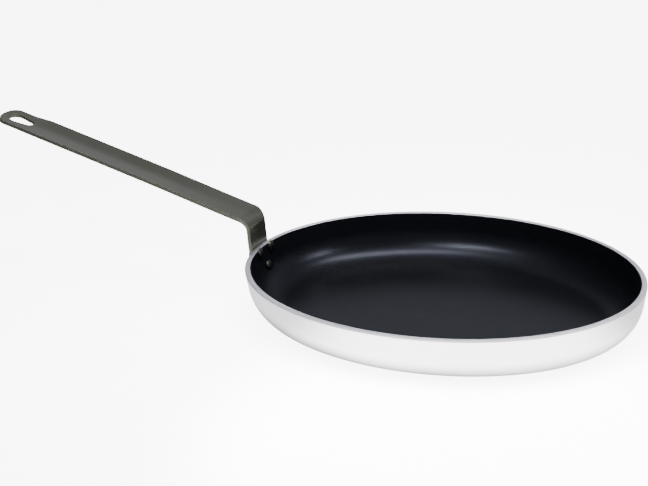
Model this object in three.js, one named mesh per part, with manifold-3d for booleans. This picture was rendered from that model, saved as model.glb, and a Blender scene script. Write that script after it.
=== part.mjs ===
// Fish frying pan: an oval pressed aluminium pan, lined with a non-stick coating, and a dished steel strip
// handle held by three rivets.
// Millimetres, +Z up. The origin is the centre of the base's underside, and the handle points along -X.

import * as THREE from 'three';
import { mergeVertices } from 'three/addons/utils/BufferGeometryUtils.js';
import Module from 'manifold-3d';

const wasm = await Module();
wasm.setup();

// Pan body
const PAN_LENGTH = 360; // over the rim, along X
const PAN_WIDTH = 280; // over the rim, along Y
const PAN_HEIGHT = 45;
const SHEET = 5; // thickness of base and wall
const WALL_FLARE = THREE.MathUtils.degToRad(9); // lean of the wall from upright
const BASE_FILLET = 34; // outside radius between base and wall
const RIM_ROUND = 1.5; // rounding of the rim's outer edge
const RIM_BREAK = 0.5; // chamfer of the rim's inner edge

// Non-stick lining
const LINING = 0.25;
const LINING_GAP = 0.02; // between lining and wall

// Handle strip
const STRIP = 3.7; // thickness
const FOOT_WIDTH = 30;
const GRIP_WIDTH = 35.4;
const TIP_WIDTH = 32;
const FOOT_CORNER = 8; // corner radius at the foot's lower end
const FOOT_MARGIN = 9; // foot below the lower rivet's centre
const FOOT_CLEARANCE = 0.3; // between foot and wall
const FOOT_LEAN = THREE.MathUtils.degToRad(3.2); // lean of the foot above the rim
const BEND_HEIGHT = 28.1; // corner of foot and grip, above the rim
const BEND_RADIUS = 13.6; // on the outside of the bend
const GRIP_RISE = THREE.MathUtils.degToRad(15);
const GRIP_LENGTH = 279.4; // from that corner to the tip
const GRIP_DISH = 1.36; // depth of the grip's middle below its edges
const END_DISH = 0.4; // the same at the bend and at the tip
const DISH_RUN_IN = 110; // length from the bend over which the dish deepens
const TIP_LENGTH = 22.6; // narrow end of the grip
const TIP_TAPER = 25; // length over which the grip narrows to it
const TIP_ROUND = 10; // length of the tip's rounded end

// Hanging slot, a teardrop with its wide end towards the tip
const SLOT_LENGTH = 26.1;
const SLOT_WIDTH = 16.4;
const SLOT_NECK = 11.9; // width at its narrow end
const SLOT_TO_TIP = 7.7; // metal between slot and tip

// Rivets: two side by side below the rim and one under them
const RIVET_SHANK = 6; // diameter
const RIVET_HOLE_CLEARANCE = 0.3; // round the shank
const RIVET_DROP = 5.6; // rim to the upper rivets, down the wall
const RIVET_PITCH = 15.4; // upper to lower rivet, down the wall
const RIVET_SPREAD = 21; // between the two upper rivets
const HEAD_DIAMETER = 9.8; // domed head inside the pan
const HEAD_HEIGHT = 2.4;
const SET_HEAD_DIAMETER = 8.4; // formed head on the handle's foot
const SET_HEAD_HEIGHT = 2;
const HEAD_CLEARANCE = 0.3; // under both heads

// Facets
const OVAL_SEGMENTS = 96;
const FILLET_STEPS = 7;
const RIM_STEPS = 3;
const RIVET_SEGMENTS = 24;
const DOME_STEPS = 5;
const ACROSS_STEPS = 8;
const FOOT_CORNER_STEPS = 4;
const FOOT_STEPS = 8;
const BEND_STEPS = 10;
const RUN_IN_STEPS = 8;
const GRIP_STEPS = 3;
const TAPER_STEPS = 6;
const TIP_STEPS = 9;
const SLOT_SEGMENTS = 12;
const DISH_SOFTNESS = 0.35; // 0 is a sharp fold along the middle
const CUT_REACH = 20; // length of cutting bodies past what they cut
const WELD = 1e-5; // distance within which vertices are one

const halfLength = PAN_LENGTH / 2;
const halfWidth = PAN_WIDTH / 2;

// The fillet can be no larger than the wall is high.
const fillet = Math.min(BASE_FILLET, (PAN_HEIGHT - RIM_ROUND) / (1 - Math.sin(WALL_FLARE)));
const filletTop = fillet * (1 - Math.sin(WALL_FLARE));
const flatInset = (PAN_HEIGHT - filletTop) * Math.tan(WALL_FLARE) + fillet * Math.cos(WALL_FLARE);

// Solids and meshes

function solidOf(geometry) {
  const bare = geometry.clone();
  bare.deleteAttribute('normal');
  bare.deleteAttribute('uv');
  const merged = mergeVertices(bare, WELD);
  return new wasm.Manifold(new wasm.Mesh({
    numProp: 3,
    vertProperties: new Float32Array(merged.attributes.position.array),
    triVerts: new Uint32Array(merged.index.array),
  }));
}

function geometryOf(solid) {
  const mesh = solid.getMesh();
  const geometry = new THREE.BufferGeometry();
  geometry.setAttribute('position', new THREE.BufferAttribute(new Float32Array(mesh.vertProperties), 3));
  geometry.setIndex(new THREE.BufferAttribute(new Uint32Array(mesh.triVerts), 1));
  geometry.computeVertexNormals();
  return geometry;
}

function indexedGeometry(points, triangles) {
  const geometry = new THREE.BufferGeometry().setFromPoints(points);
  geometry.setIndex(triangles);
  geometry.computeVertexNormals();
  return geometry;
}

function namedMesh(name, solid, material) {
  const mesh = new THREE.Mesh(geometryOf(solid), material);
  mesh.name = name;
  return mesh;
}

// Profile of the wall at a depth below the pan's outer face, from the base's edge up to a given height.
// Each point is an inset from the rim's oval and a height.
function wallProfile(depth, top) {
  const radius = fillet - depth;
  const profile = [];
  for (let i = 0; i <= FILLET_STEPS; i++) {
    const lean = Math.PI / 2 - (i / FILLET_STEPS) * (Math.PI / 2 - WALL_FLARE);
    profile.push(new THREE.Vector2(flatInset - radius * Math.cos(lean), fillet - radius * Math.sin(lean)));
  }
  profile.push(new THREE.Vector2(wallInset(depth, top), top));
  return profile;
}

function wallInset(depth, height) {
  return (PAN_HEIGHT - height) * Math.tan(WALL_FLARE) + depth / Math.cos(WALL_FLARE);
}

// Closed body whose rings follow the oval at each point of a profile that starts and ends on a flat.
function ovalSolid(profile) {
  const points = [];
  const triangles = [];
  for (const { x: inset, y: height } of profile) {
    for (let i = 0; i < OVAL_SEGMENTS; i++) {
      const turn = (i / OVAL_SEGMENTS) * 2 * Math.PI;
      const x = (halfLength - inset) * Math.cos(turn);
      const y = (halfWidth - inset) * Math.sin(turn);
      points.push(new THREE.Vector3(x, y, height));
    }
  }
  const firstCentre = points.length;
  const lastCentre = firstCentre + 1;
  points.push(new THREE.Vector3(0, 0, profile[0].y));
  points.push(new THREE.Vector3(0, 0, profile[profile.length - 1].y));
  const lastRing = (profile.length - 1) * OVAL_SEGMENTS;
  for (let i = 0; i < OVAL_SEGMENTS; i++) {
    const next = (i + 1) % OVAL_SEGMENTS;
    triangles.push(firstCentre, next, i);
    triangles.push(lastCentre, lastRing + i, lastRing + next);
    for (let ring = 0; ring < lastRing; ring += OVAL_SEGMENTS) {
      triangles.push(ring + i, ring + next, ring + OVAL_SEGMENTS + next);
      triangles.push(ring + i, ring + OVAL_SEGMENTS + next, ring + OVAL_SEGMENTS + i);
    }
  }
  return solidOf(indexedGeometry(points, triangles));
}

// Place on the wall's outer face at the handle's end, by its distance down the wall from the rim.
// Above the rim the distance is negative and the foot's own lean is carried on.
function wallStation(distance) {
  if (distance < 0) {
    const height = PAN_HEIGHT - distance * Math.cos(FOOT_LEAN);
    return { inset: distance * Math.sin(FOOT_LEAN), height, lean: FOOT_LEAN };
  }
  const straight = (PAN_HEIGHT - filletTop) / Math.cos(WALL_FLARE);
  if (distance <= straight) {
    const height = PAN_HEIGHT - distance * Math.cos(WALL_FLARE);
    return { inset: wallInset(0, height), height, lean: WALL_FLARE };
  }
  const lean = WALL_FLARE + (distance - straight) / fillet;
  return { inset: flatInset - fillet * Math.cos(lean), height: fillet * (1 - Math.sin(lean)), lean };
}

// Pan body and lining

function panSolid() {
  const outer = wallProfile(0, PAN_HEIGHT - RIM_ROUND);
  const rim = [];
  const landStart = wallInset(0, PAN_HEIGHT - RIM_ROUND) + RIM_ROUND;
  for (let i = 1; i <= RIM_STEPS; i++) {
    const turn = (i / RIM_STEPS) * Math.PI / 2;
    const inset = landStart - RIM_ROUND * Math.cos(turn);
    rim.push(new THREE.Vector2(inset, PAN_HEIGHT - RIM_ROUND * (1 - Math.sin(turn))));
  }
  rim.push(new THREE.Vector2(wallInset(SHEET, PAN_HEIGHT) - RIM_BREAK, PAN_HEIGHT));
  const inner = wallProfile(SHEET, PAN_HEIGHT - RIM_BREAK).reverse();
  return ovalSolid([...outer, ...rim, ...inner]);
}

function liningSolid() {
  const top = PAN_HEIGHT - RIM_BREAK;
  const bonded = wallProfile(SHEET + LINING_GAP, top);
  const exposed = wallProfile(SHEET + LINING_GAP + LINING, top).reverse();
  return ovalSolid([...bonded, ...exposed]);
}

// Space inside the lined pan that the rivets' heads may fill, carried up past the rim
function headSpaceSolid() {
  const depth = SHEET + LINING_GAP + LINING + HEAD_CLEARANCE;
  return ovalSolid(wallProfile(depth, PAN_HEIGHT + CUT_REACH));
}

// Rivets

const lowerRivet = RIVET_DROP + RIVET_PITCH;
const rivetPlaces = {
  rivet_upper_left: rivetPlace(RIVET_SPREAD / 2, RIVET_DROP),
  rivet_upper_right: rivetPlace(-RIVET_SPREAD / 2, RIVET_DROP),
  rivet_lower: rivetPlace(0, lowerRivet),
};

// Frame on the wall's outer face, with +Z square to the wall and pointing into the pan
function rivetPlace(y, distance) {
  const { inset, height, lean } = wallStation(distance);
  const lengthHere = halfLength - inset;
  const widthHere = halfWidth - inset;
  const x = -lengthHere * Math.sqrt(1 - (y / widthHere) ** 2);
  const level = new THREE.Vector2(-x / lengthHere ** 2, -y / widthHere ** 2).normalize();
  const inward = new THREE.Vector3(level.x * Math.cos(lean), level.y * Math.cos(lean), Math.sin(lean));
  const turn = new THREE.Quaternion().setFromUnitVectors(new THREE.Vector3(0, 0, 1), inward);
  return new THREE.Matrix4().compose(new THREE.Vector3(x, y, height), turn, new THREE.Vector3(1, 1, 1));
}

// Body turned about a rivet's axis from a profile of radii and heights, set in its place
function turnedSolid(profile, place) {
  const geometry = new THREE.LatheGeometry(profile, RIVET_SEGMENTS);
  geometry.rotateX(Math.PI / 2);
  geometry.applyMatrix4(place);
  return solidOf(geometry);
}

// Profile of a domed head with its rim at one height and its crown at another, closed by a straight skirt
function domeProfile(radius, rimHeight, crownHeight, skirtHeight) {
  const profile = [new THREE.Vector2(0, skirtHeight), new THREE.Vector2(radius, skirtHeight)];
  for (let i = 0; i <= DOME_STEPS; i++) {
    const turn = (i / DOME_STEPS) * Math.PI / 2;
    const height = rimHeight + (crownHeight - rimHeight) * Math.sin(turn);
    profile.push(new THREE.Vector2(i === DOME_STEPS ? 0 : radius * Math.cos(turn), height));
  }
  return profile;
}

function shankProfile(radius, bottom, top) {
  return [
    new THREE.Vector2(0, bottom),
    new THREE.Vector2(radius, bottom),
    new THREE.Vector2(radius, top),
    new THREE.Vector2(0, top),
  ];
}

function rivetHole(place) {
  return turnedSolid(shankProfile(RIVET_SHANK / 2 + RIVET_HOLE_CLEARANCE, -CUT_REACH, CUT_REACH), place);
}

function rivetSolid(place, headSpace) {
  const liningFace = SHEET + LINING_GAP + LINING;
  const footFace = -(FOOT_CLEARANCE + STRIP);
  const setHeadSeat = footFace - HEAD_CLEARANCE;
  const headSeat = liningFace + HEAD_CLEARANCE;
  const crown = headSeat + HEAD_HEIGHT;
  // The shank ends inside both heads.
  const shankEnds = [setHeadSeat - SET_HEAD_HEIGHT / 2, headSeat + HEAD_HEIGHT / 2];
  const shank = turnedSolid(shankProfile(RIVET_SHANK / 2, ...shankEnds), place);
  // The head's skirt reaches into the wall and is trimmed to the wall's curve.
  const head = turnedSolid(domeProfile(HEAD_DIAMETER / 2, headSeat, crown, 0), place).intersect(headSpace);
  const setHead = turnedSolid(setHeadProfile(setHeadSeat), place);
  return shank.add(head).add(setHead);
}

// Formed head below a seat, widest at the seat
function setHeadProfile(seat) {
  const profile = [];
  for (let i = 0; i <= DOME_STEPS; i++) {
    const turn = (i / DOME_STEPS) * Math.PI / 2;
    const radius = (SET_HEAD_DIAMETER / 2) * Math.sin(turn);
    profile.push(new THREE.Vector2(radius, seat - SET_HEAD_HEIGHT * Math.cos(turn)));
  }
  profile.push(new THREE.Vector2(0, seat));
  return profile;
}

// Handle strip

// The strip's upper face is followed from the foot's lower end to the tip. Each station holds a point of that
// face in the XZ plane, the angle of its normal from +X, the strip's width, how far the edges stand above the
// point along the normal where the foot is bent to the oval, and how far they do where the strip is dished.
const footLength = lowerRivet + FOOT_MARGIN;
const bendTurn = Math.PI / 2 - GRIP_RISE - FOOT_LEAN;
const bendSetback = BEND_RADIUS * Math.tan(bendTurn / 2);
const footTop = BEND_HEIGHT / Math.cos(FOOT_LEAN) - bendSetback;
const taperEnd = GRIP_LENGTH - TIP_LENGTH;
const taperStart = taperEnd - TIP_TAPER;
const roundStart = GRIP_LENGTH - TIP_ROUND;

// Even distances from one value to another
function steps(from, to, count) {
  return Array.from({ length: count + 1 }, (_, i) => from + ((to - from) * i) / count);
}

function footWidth(fromEnd) {
  const past = Math.max(0, FOOT_CORNER - fromEnd);
  return FOOT_WIDTH - 2 * (FOOT_CORNER - Math.sqrt(FOOT_CORNER ** 2 - past ** 2));
}

// The foot lies along the wall, bent to the oval across its width.
function footStation(distance) {
  const { inset, height, lean } = wallStation(distance);
  const width = footWidth(footLength - distance);
  const endRadius = (halfWidth - inset) ** 2 / (halfLength - inset);
  return {
    x: -(halfLength - inset) - FOOT_CLEARANCE * Math.cos(lean),
    z: height - FOOT_CLEARANCE * Math.sin(lean),
    angle: lean,
    width,
    edges: Math.cos(lean) * (width / 2) ** 2 / (2 * endRadius),
    dish: 0,
  };
}

function bendStation(start, share) {
  const turned = share * bendTurn;
  const angle = start.angle + turned;
  return {
    x: start.x - BEND_RADIUS * (Math.cos(start.angle) - Math.cos(angle)),
    z: start.z - BEND_RADIUS * (Math.sin(start.angle) - Math.sin(angle)),
    angle,
    width: THREE.MathUtils.lerp(FOOT_WIDTH, GRIP_WIDTH, THREE.MathUtils.smoothstep(share, 0, 1)),
    edges: start.edges * (1 - share),
    dish: END_DISH * share,
  };
}

function gripWidth(distance) {
  const taper = THREE.MathUtils.smoothstep(distance, taperStart, taperEnd);
  const width = THREE.MathUtils.lerp(GRIP_WIDTH, TIP_WIDTH, taper);
  const past = Math.max(0, distance - roundStart) / TIP_ROUND;
  return width * Math.sqrt(1 - past ** 2);
}

// A place on the grip, by its distance from the corner of foot and grip
function gripStation(start, distance) {
  const run = distance - bendSetback;
  const runIn = THREE.MathUtils.smoothstep(run, 0, DISH_RUN_IN);
  const runOut = 1 - THREE.MathUtils.smoothstep(distance, taperStart, taperEnd);
  return {
    x: start.x - run * Math.cos(GRIP_RISE),
    z: start.z + run * Math.sin(GRIP_RISE),
    angle: Math.PI / 2 - GRIP_RISE,
    width: gripWidth(distance),
    edges: 0,
    dish: THREE.MathUtils.lerp(END_DISH, GRIP_DISH, runIn * runOut),
  };
}

function stripStations() {
  const cornerTurns = steps(0, Math.PI / 2, FOOT_CORNER_STEPS);
  const tipTurns = steps(0, Math.PI / 2, TIP_STEPS).slice(1, -1);
  const footCorners = cornerTurns.map((turn) => footLength - FOOT_CORNER * (1 - Math.cos(turn)));
  const footRest = steps(footLength - FOOT_CORNER, 0, FOOT_STEPS).slice(1);
  const foot = [...footCorners, ...footRest, -footTop].map(footStation);
  const footEnd = foot[foot.length - 1];
  const bend = steps(0, 1, BEND_STEPS).slice(1).map((share) => bendStation(footEnd, share));
  const bendEnd = bend[bend.length - 1];
  const gripDistances = [
    ...steps(bendSetback, bendSetback + DISH_RUN_IN, RUN_IN_STEPS).slice(1),
    ...steps(bendSetback + DISH_RUN_IN, taperStart, GRIP_STEPS).slice(1),
    ...steps(taperStart, taperEnd, TAPER_STEPS).slice(1),
    roundStart,
    ...tipTurns.map((turn) => roundStart + TIP_ROUND * Math.sin(turn)),
  ];
  return [...foot, ...bend, ...gripDistances.map((distance) => gripStation(bendEnd, distance))];
}

// Height of the dished section across the strip, from 0 at the middle to 1 at the edges, with a soft fold
function dishShare(across) {
  const rise = Math.hypot(across, DISH_SOFTNESS) - DISH_SOFTNESS;
  return rise / (Math.hypot(1, DISH_SOFTNESS) - DISH_SOFTNESS);
}

function stripSolid() {
  const stations = stripStations();
  const across = steps(-1, 1, ACROSS_STEPS);
  const ringSize = 2 * across.length;
  const points = [];
  for (const { x, z, angle, width, edges, dish } of stations) {
    const normal = new THREE.Vector3(Math.cos(angle), 0, Math.sin(angle));
    const face = across.map((share) => new THREE.Vector3(x, share * width / 2, z)
      .addScaledVector(normal, edges * share ** 2 + dish * dishShare(share)));
    const back = face.map((point) => point.clone().addScaledVector(normal, -STRIP)).reverse();
    points.push(...face, ...back);
  }
  const triangles = [];
  for (let row = 0; row < stations.length - 1; row++) {
    const here = row * ringSize;
    const there = here + ringSize;
    for (let i = 0; i < ringSize; i++) {
      const next = (i + 1) % ringSize;
      triangles.push(here + i, here + next, there + next);
      triangles.push(here + i, there + next, there + i);
    }
  }
  const lastRow = (stations.length - 1) * ringSize;
  for (let i = 0; i < ACROSS_STEPS; i++) {
    const facing = ringSize - 1 - i;
    triangles.push(i, facing, i + 1, i + 1, facing, facing - 1);
    triangles.push(lastRow + i, lastRow + i + 1, lastRow + facing);
    triangles.push(lastRow + i + 1, lastRow + facing - 1, lastRow + facing);
  }
  return solidOf(indexedGeometry(points, triangles));
}

// Teardrop outline with its wide end's centre at the origin and its narrow end towards -X
function slotShape() {
  const wide = SLOT_WIDTH / 2;
  const narrow = SLOT_NECK / 2;
  const between = SLOT_LENGTH - wide - narrow;
  const contact = Math.acos((narrow - wide) / between);
  const shape = new THREE.Shape();
  shape.absarc(0, 0, wide, -contact, contact, false);
  shape.absarc(-between, 0, narrow, contact, 2 * Math.PI - contact, false);
  shape.closePath();
  return shape;
}

// Slot cutter, square to the grip, with its outline's +X along the grip towards the tip
function slotCutter(bendEnd) {
  const extrusion = { depth: 2 * CUT_REACH, bevelEnabled: false, curveSegments: SLOT_SEGMENTS };
  const geometry = new THREE.ExtrudeGeometry(slotShape(), extrusion);
  geometry.translate(0, 0, -CUT_REACH);
  const centre = gripStation(bendEnd, GRIP_LENGTH - SLOT_TO_TIP - SLOT_WIDTH / 2);
  const along = new THREE.Vector3(-Math.cos(GRIP_RISE), 0, Math.sin(GRIP_RISE));
  const upward = new THREE.Vector3(Math.sin(GRIP_RISE), 0, Math.cos(GRIP_RISE));
  const sideways = new THREE.Vector3().crossVectors(upward, along);
  const place = new THREE.Matrix4().makeBasis(along, sideways, upward);
  place.setPosition(centre.x, 0, centre.z);
  geometry.applyMatrix4(place);
  return solidOf(geometry);
}

// Assembly

const holes = Object.values(rivetPlaces).map(rivetHole);
const drilled = (solid) => holes.reduce((rest, hole) => rest.subtract(hole), solid);

const bareAluminium = { color: 0xd9d7d8, roughness: 0.35, metalness: 1 };
const nonStick = { color: 0x14161c, roughness: 0.4, metalness: 0 };
const greySteel = { color: 0x45443f, roughness: 0.35, metalness: 0.1 };
const rivetSteel = { color: 0x4a4b4a, roughness: 0.4, metalness: 0.8 };

const pan = new THREE.Group();
pan.add(namedMesh('pan_body', drilled(panSolid()), new THREE.MeshStandardMaterial(bareAluminium)));
pan.add(namedMesh('nonstick_lining', drilled(liningSolid()), new THREE.MeshStandardMaterial(nonStick)));

const bendEnd = bendStation(footStation(-footTop), 1);
const handle = drilled(stripSolid()).subtract(slotCutter(bendEnd));
pan.add(namedMesh('handle', handle, new THREE.MeshStandardMaterial(greySteel)));

const headSpace = headSpaceSolid();
for (const [name, place] of Object.entries(rivetPlaces)) {
  pan.add(namedMesh(name, rivetSolid(place, headSpace), new THREE.MeshStandardMaterial(rivetSteel)));
}

export default pan;
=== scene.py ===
"""Fish frying pan: an oval aluminium pan with a dark lining and a riveted, dished strip handle.

Metres, +Z up. The origin is the centre of the base's underside, and the handle points along -X.
"""

from __future__ import annotations

import logging
import math
from dataclasses import dataclass
from enum import Enum

import bmesh
import bpy
import numpy as np
from mathutils import Matrix, Vector


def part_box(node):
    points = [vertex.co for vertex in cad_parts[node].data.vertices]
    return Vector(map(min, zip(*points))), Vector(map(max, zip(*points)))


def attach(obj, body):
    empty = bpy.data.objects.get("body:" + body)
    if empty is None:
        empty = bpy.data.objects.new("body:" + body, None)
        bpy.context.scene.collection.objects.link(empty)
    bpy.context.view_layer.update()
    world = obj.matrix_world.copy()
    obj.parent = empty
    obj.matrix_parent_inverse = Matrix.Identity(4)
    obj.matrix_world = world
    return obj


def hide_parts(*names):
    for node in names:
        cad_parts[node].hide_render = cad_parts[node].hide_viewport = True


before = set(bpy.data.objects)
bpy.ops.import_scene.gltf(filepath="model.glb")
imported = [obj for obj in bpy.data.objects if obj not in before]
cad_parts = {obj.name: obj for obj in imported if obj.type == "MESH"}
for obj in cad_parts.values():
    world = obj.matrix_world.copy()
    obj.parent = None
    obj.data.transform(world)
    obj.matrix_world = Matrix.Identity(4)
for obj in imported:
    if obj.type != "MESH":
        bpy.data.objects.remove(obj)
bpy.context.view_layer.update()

LOG = logging.getLogger("fish_pan")
ROOT_BODY = "root"
WELD = 1e-7
IMAGE_WIDTH = 648
SENSOR_WIDTH = 36.0
BLACK = (0.0, 0.0, 0.0, 1.0)
WHITE = (1.0, 1.0, 1.0, 1.0)
# Each rivet's place along Y and its distance down the wall from the rim.
RIVETS = {
    "rivet_upper_left": (0.0105, 0.0056),
    "rivet_upper_right": (-0.0105, 0.0056),
    "rivet_lower": (0.0, 0.021),
}

Point = tuple[float, float, float]
Colour = tuple[float, float, float]
Pair = tuple[float, float]
Socket = bpy.types.NodeSocket
Material = bpy.types.Material
Piece = bpy.types.Object


class Slot(Enum):
    """The record's material slots."""

    BARE_ALUMINIUM = "bare_aluminium"
    NONSTICK = "nonstick"
    GREY_STEEL = "grey_steel"
    RIVET_STEEL = "rivet_steel"


def smoothstep(value: np.ndarray, start: float, end: float) -> np.ndarray:
    """Rises smoothly from 0 at start to 1 at end: 3 t squared minus 2 t cubed.

    Args:
        value: where to read the curve.
        start: value at which it leaves 0.
        end: value at which it reaches 1.

    Returns:
        The curve's height at each value.
    """
    share = np.clip((value - start) / (end - start), 0.0, 1.0)
    return share * share * (3.0 - 2.0 * share)


def grid_faces(rows: int, columns: int, closed: bool) -> np.ndarray:
    """Quads between neighbouring rows and columns of a grid of points.

    Args:
        rows: how many rows it has.
        columns: how many columns it has.
        closed: the last column joins the first.

    Returns:
        The numbers of each quad's four points.
    """
    spans = columns if closed else columns - 1
    row, column = np.meshgrid(np.arange(rows - 1), np.arange(spans), indexing="ij")
    beside = (column + 1) % columns
    near = (row * columns + column, row * columns + beside)
    far = ((row + 1) * columns + beside, (row + 1) * columns + column)
    return np.stack(near + far, axis=-1).reshape(-1, 4)


class SurfaceMesh:
    """Gathers grids of points and joins them into one closed mesh."""

    def __init__(self) -> None:
        """Starts with no points and no faces."""
        self.points: list[np.ndarray] = []
        self.worked: list[np.ndarray] = []
        self.faces: list[np.ndarray] = []
        self.face_uvs: list[np.ndarray] = []
        self.count = 0

    def add_grid(
        self,
        points: np.ndarray,
        uv: np.ndarray,
        closed: bool = False,
        worked: np.ndarray | None = None,
    ) -> None:
        """Adds a grid as quads between neighbouring rows and columns.

        Args:
            points: rows by columns by 3.
            uv: the grid's UV places; one column more than the points where it is closed.
            closed: the last column joins the first.
            worked: share of a machined or rubbed edge at each point, or None for 0.
        """
        rows, columns = points.shape[:2]
        spans = columns if closed else columns - 1
        self.faces.append(grid_faces(rows, columns, closed) + self.count)
        corner_uvs = (uv[:-1, :spans], uv[:-1, 1 : spans + 1], uv[1:, 1 : spans + 1], uv[1:, :spans])
        self.face_uvs.append(np.stack(corner_uvs, axis=2).reshape(-1, 4, 2))
        self.points.append(points.reshape(-1, 3))
        self.worked.append(np.zeros(rows * columns) if worked is None else worked.reshape(-1))
        self.count += rows * columns

    def piece(self, name: str) -> Piece:
        """Makes the object, with shared points merged, normals outwards and even shading.

        Args:
            name: the piece's name.

        Returns:
            The new object, at the origin.
        """
        mesh = bpy.data.meshes.new(name)
        mesh.from_pydata(np.vstack(self.points).tolist(), [], np.vstack(self.faces).tolist())
        layer = mesh.uv_layers.new(name="surface")
        layer.data.foreach_set("uv", np.vstack(self.face_uvs).astype(np.float32).ravel())
        wear = mesh.attributes.new("worked", "FLOAT", "POINT")
        wear.data.foreach_set("value", np.concatenate(self.worked).astype(np.float32))
        body = bmesh.new()
        body.from_mesh(mesh)
        bmesh.ops.remove_doubles(body, verts=body.verts, dist=WELD)
        bmesh.ops.dissolve_degenerate(body, edges=body.edges, dist=WELD)
        bmesh.ops.recalc_face_normals(body, faces=body.faces)
        body.to_mesh(mesh)
        body.free()
        mesh.polygons.foreach_set("use_smooth", np.ones(len(mesh.polygons), dtype=bool))
        piece = bpy.data.objects.new(name, mesh)
        bpy.context.collection.objects.link(piece)
        piece.modifiers.new("even_shading", "WEIGHTED_NORMAL").keep_sharp = True
        return piece


class NodeBoard:
    """A node tree with short ways to add and join nodes."""

    def __init__(self, tree: bpy.types.NodeTree) -> None:
        """Empties the tree."""
        self.tree = tree
        tree.nodes.clear()

    def add(self, kind: str, **settings: object) -> bpy.types.Node:
        """Adds a node of a kind and sets its properties.

        Args:
            kind: Blender's name for the node.
            **settings: the node's properties.

        Returns:
            The node.
        """
        node = self.tree.nodes.new(kind)
        for key, value in settings.items():
            setattr(node, key, value)
        return node

    def join(self, value: object, socket: Socket) -> None:
        """Links a socket from another node's output, or sets its value.

        Args:
            value: the output, or the value.
            socket: the socket that takes it.
        """
        if isinstance(value, Socket):
            self.tree.links.new(value, socket)
        else:
            socket.default_value = value

    def feed(self, node: bpy.types.Node, **inputs: object) -> bpy.types.Node:
        """Sets or links a node's inputs, named with _ for a space.

        Args:
            node: the node to feed.
            **inputs: sockets to link from, or values to set.

        Returns:
            The same node.
        """
        for key, value in inputs.items():
            self.join(value, node.inputs[key.replace("_", " ")])
        return node

    def noise(
        self, place: Socket, scale: float, detail: float = 2.0, roughness: float = 0.5
    ) -> Socket:
        """Noise in space.

        Args:
            place: where it is read.
            scale: how many blotches to a metre.
            detail: how many finer layers it carries.
            roughness: how strong these are.

        Returns:
            The noise, about 0.5.
        """
        node = self.add("ShaderNodeTexNoise", noise_dimensions="3D")
        self.feed(node, Vector=place, Scale=scale, Detail=detail, Roughness=roughness)
        return node.outputs["Fac"]

    def line_noise(self, place: Socket, scale: float, detail: float = 2.0) -> Socket:
        """Noise along one number, as for turned or rolled marks.

        Args:
            place: the number it is read at.
            scale: how many blotches to a unit.
            detail: how many finer layers it carries.

        Returns:
            The noise, about 0.5.
        """
        node = self.add("ShaderNodeTexNoise", noise_dimensions="1D")
        self.feed(node, W=place, Scale=scale, Detail=detail)
        return node.outputs["Fac"]

    def spread(
        self, value: Socket, start: float, end: float, low: float, high: float, smooth: bool = False
    ) -> Socket:
        """Carries a range of one number over to another range.

        Args:
            value: the number.
            start: where its range starts.
            end: where its range ends.
            low: result at the start.
            high: result at the end.
            smooth: the change eases in and out.

        Returns:
            The result.
        """
        node = self.add("ShaderNodeMapRange", interpolation_type="SMOOTHSTEP" if smooth else "LINEAR")
        self.feed(node, Value=value, From_Min=start, From_Max=end, To_Min=low, To_Max=high)
        return node.outputs["Result"]

    def combine(
        self, operation: str, first: Socket | float, second: Socket | float
    ) -> Socket:
        """Puts two numbers through an operation such as ADD or MULTIPLY.

        Args:
            operation: Blender's name for it.
            first: the first number.
            second: the second number.

        Returns:
            The result.
        """
        node = self.add("ShaderNodeMath", operation=operation)
        for socket, value in zip(node.inputs, (first, second)):
            self.join(value, socket)
        return node.outputs["Value"]

    def distance(self, place: Socket, middle: Point) -> Socket:
        """Distance from a point.

        Args:
            place: where it is read.
            middle: the point.

        Returns:
            The distance.
        """
        node = self.add("ShaderNodeVectorMath", operation="DISTANCE")
        self.join(place, node.inputs[0])
        self.join(middle, node.inputs[1])
        return node.outputs["Value"]

    def tint(self, factor: Socket, stops: list[tuple[float, Colour]]) -> Socket:
        """Reads a colour off a row of colours.

        Args:
            factor: place on the row.
            stops: places and their colours.

        Returns:
            The colour.
        """
        node = self.add("ShaderNodeValToRGB")
        ramp = node.color_ramp
        while len(ramp.elements) < len(stops):
            ramp.elements.new(1.0)
        for element, (place, colour) in zip(ramp.elements, stops):
            element.position = place
            element.color = (*colour, 1.0)
        self.feed(node, Fac=factor)
        return node.outputs["Color"]

    def blend(
        self, factor: Socket, base: Socket, over: Colour
    ) -> Socket:
        """Lays one colour over another by a factor.

        Args:
            factor: 0 keeps the base and 1 covers it.
            base: the colour below.
            over: the colour laid on.

        Returns:
            The mixed colour.
        """
        node = self.add("ShaderNodeMix", data_type="RGBA")
        self.join(factor, node.inputs[0])
        self.join(base, node.inputs[6])
        self.join((*over, 1.0), node.inputs[7])
        return node.outputs[2]

    def fade(self, factor: Socket, start: Socket, end: float) -> Socket:
        """Goes from one number to another by a factor.

        Args:
            factor: 0 gives the start and 1 the end.
            start: the first number.
            end: the second number.

        Returns:
            The number between them.
        """
        node = self.add("ShaderNodeMix", data_type="FLOAT")
        self.feed(node, Factor=factor, A=start, B=end)
        return node.outputs[0]

    def weigh(self, first: Socket, second: Socket, share: float) -> Socket:
        """Weighted sum: the share times the first number, plus the rest of 1 times the second.

        Args:
            first: the first number.
            second: the second number.
            share: weight of the first.

        Returns:
            The sum.
        """
        main_part = self.combine("MULTIPLY", first, share)
        return self.combine("ADD", main_part, self.combine("MULTIPLY", second, 1.0 - share))

    def bump(self, height: Socket, strength: float, distance: float) -> Socket:
        """Turns a height into a bumped normal.

        Args:
            height: the height, 0 to 1.
            strength: share of the bump that shows.
            distance: height of 1, in metres.

        Returns:
            The normal.
        """
        node = self.add("ShaderNodeBump")
        self.feed(node, Height=height, Strength=strength, Distance=distance)
        return node.outputs["Normal"]


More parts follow.
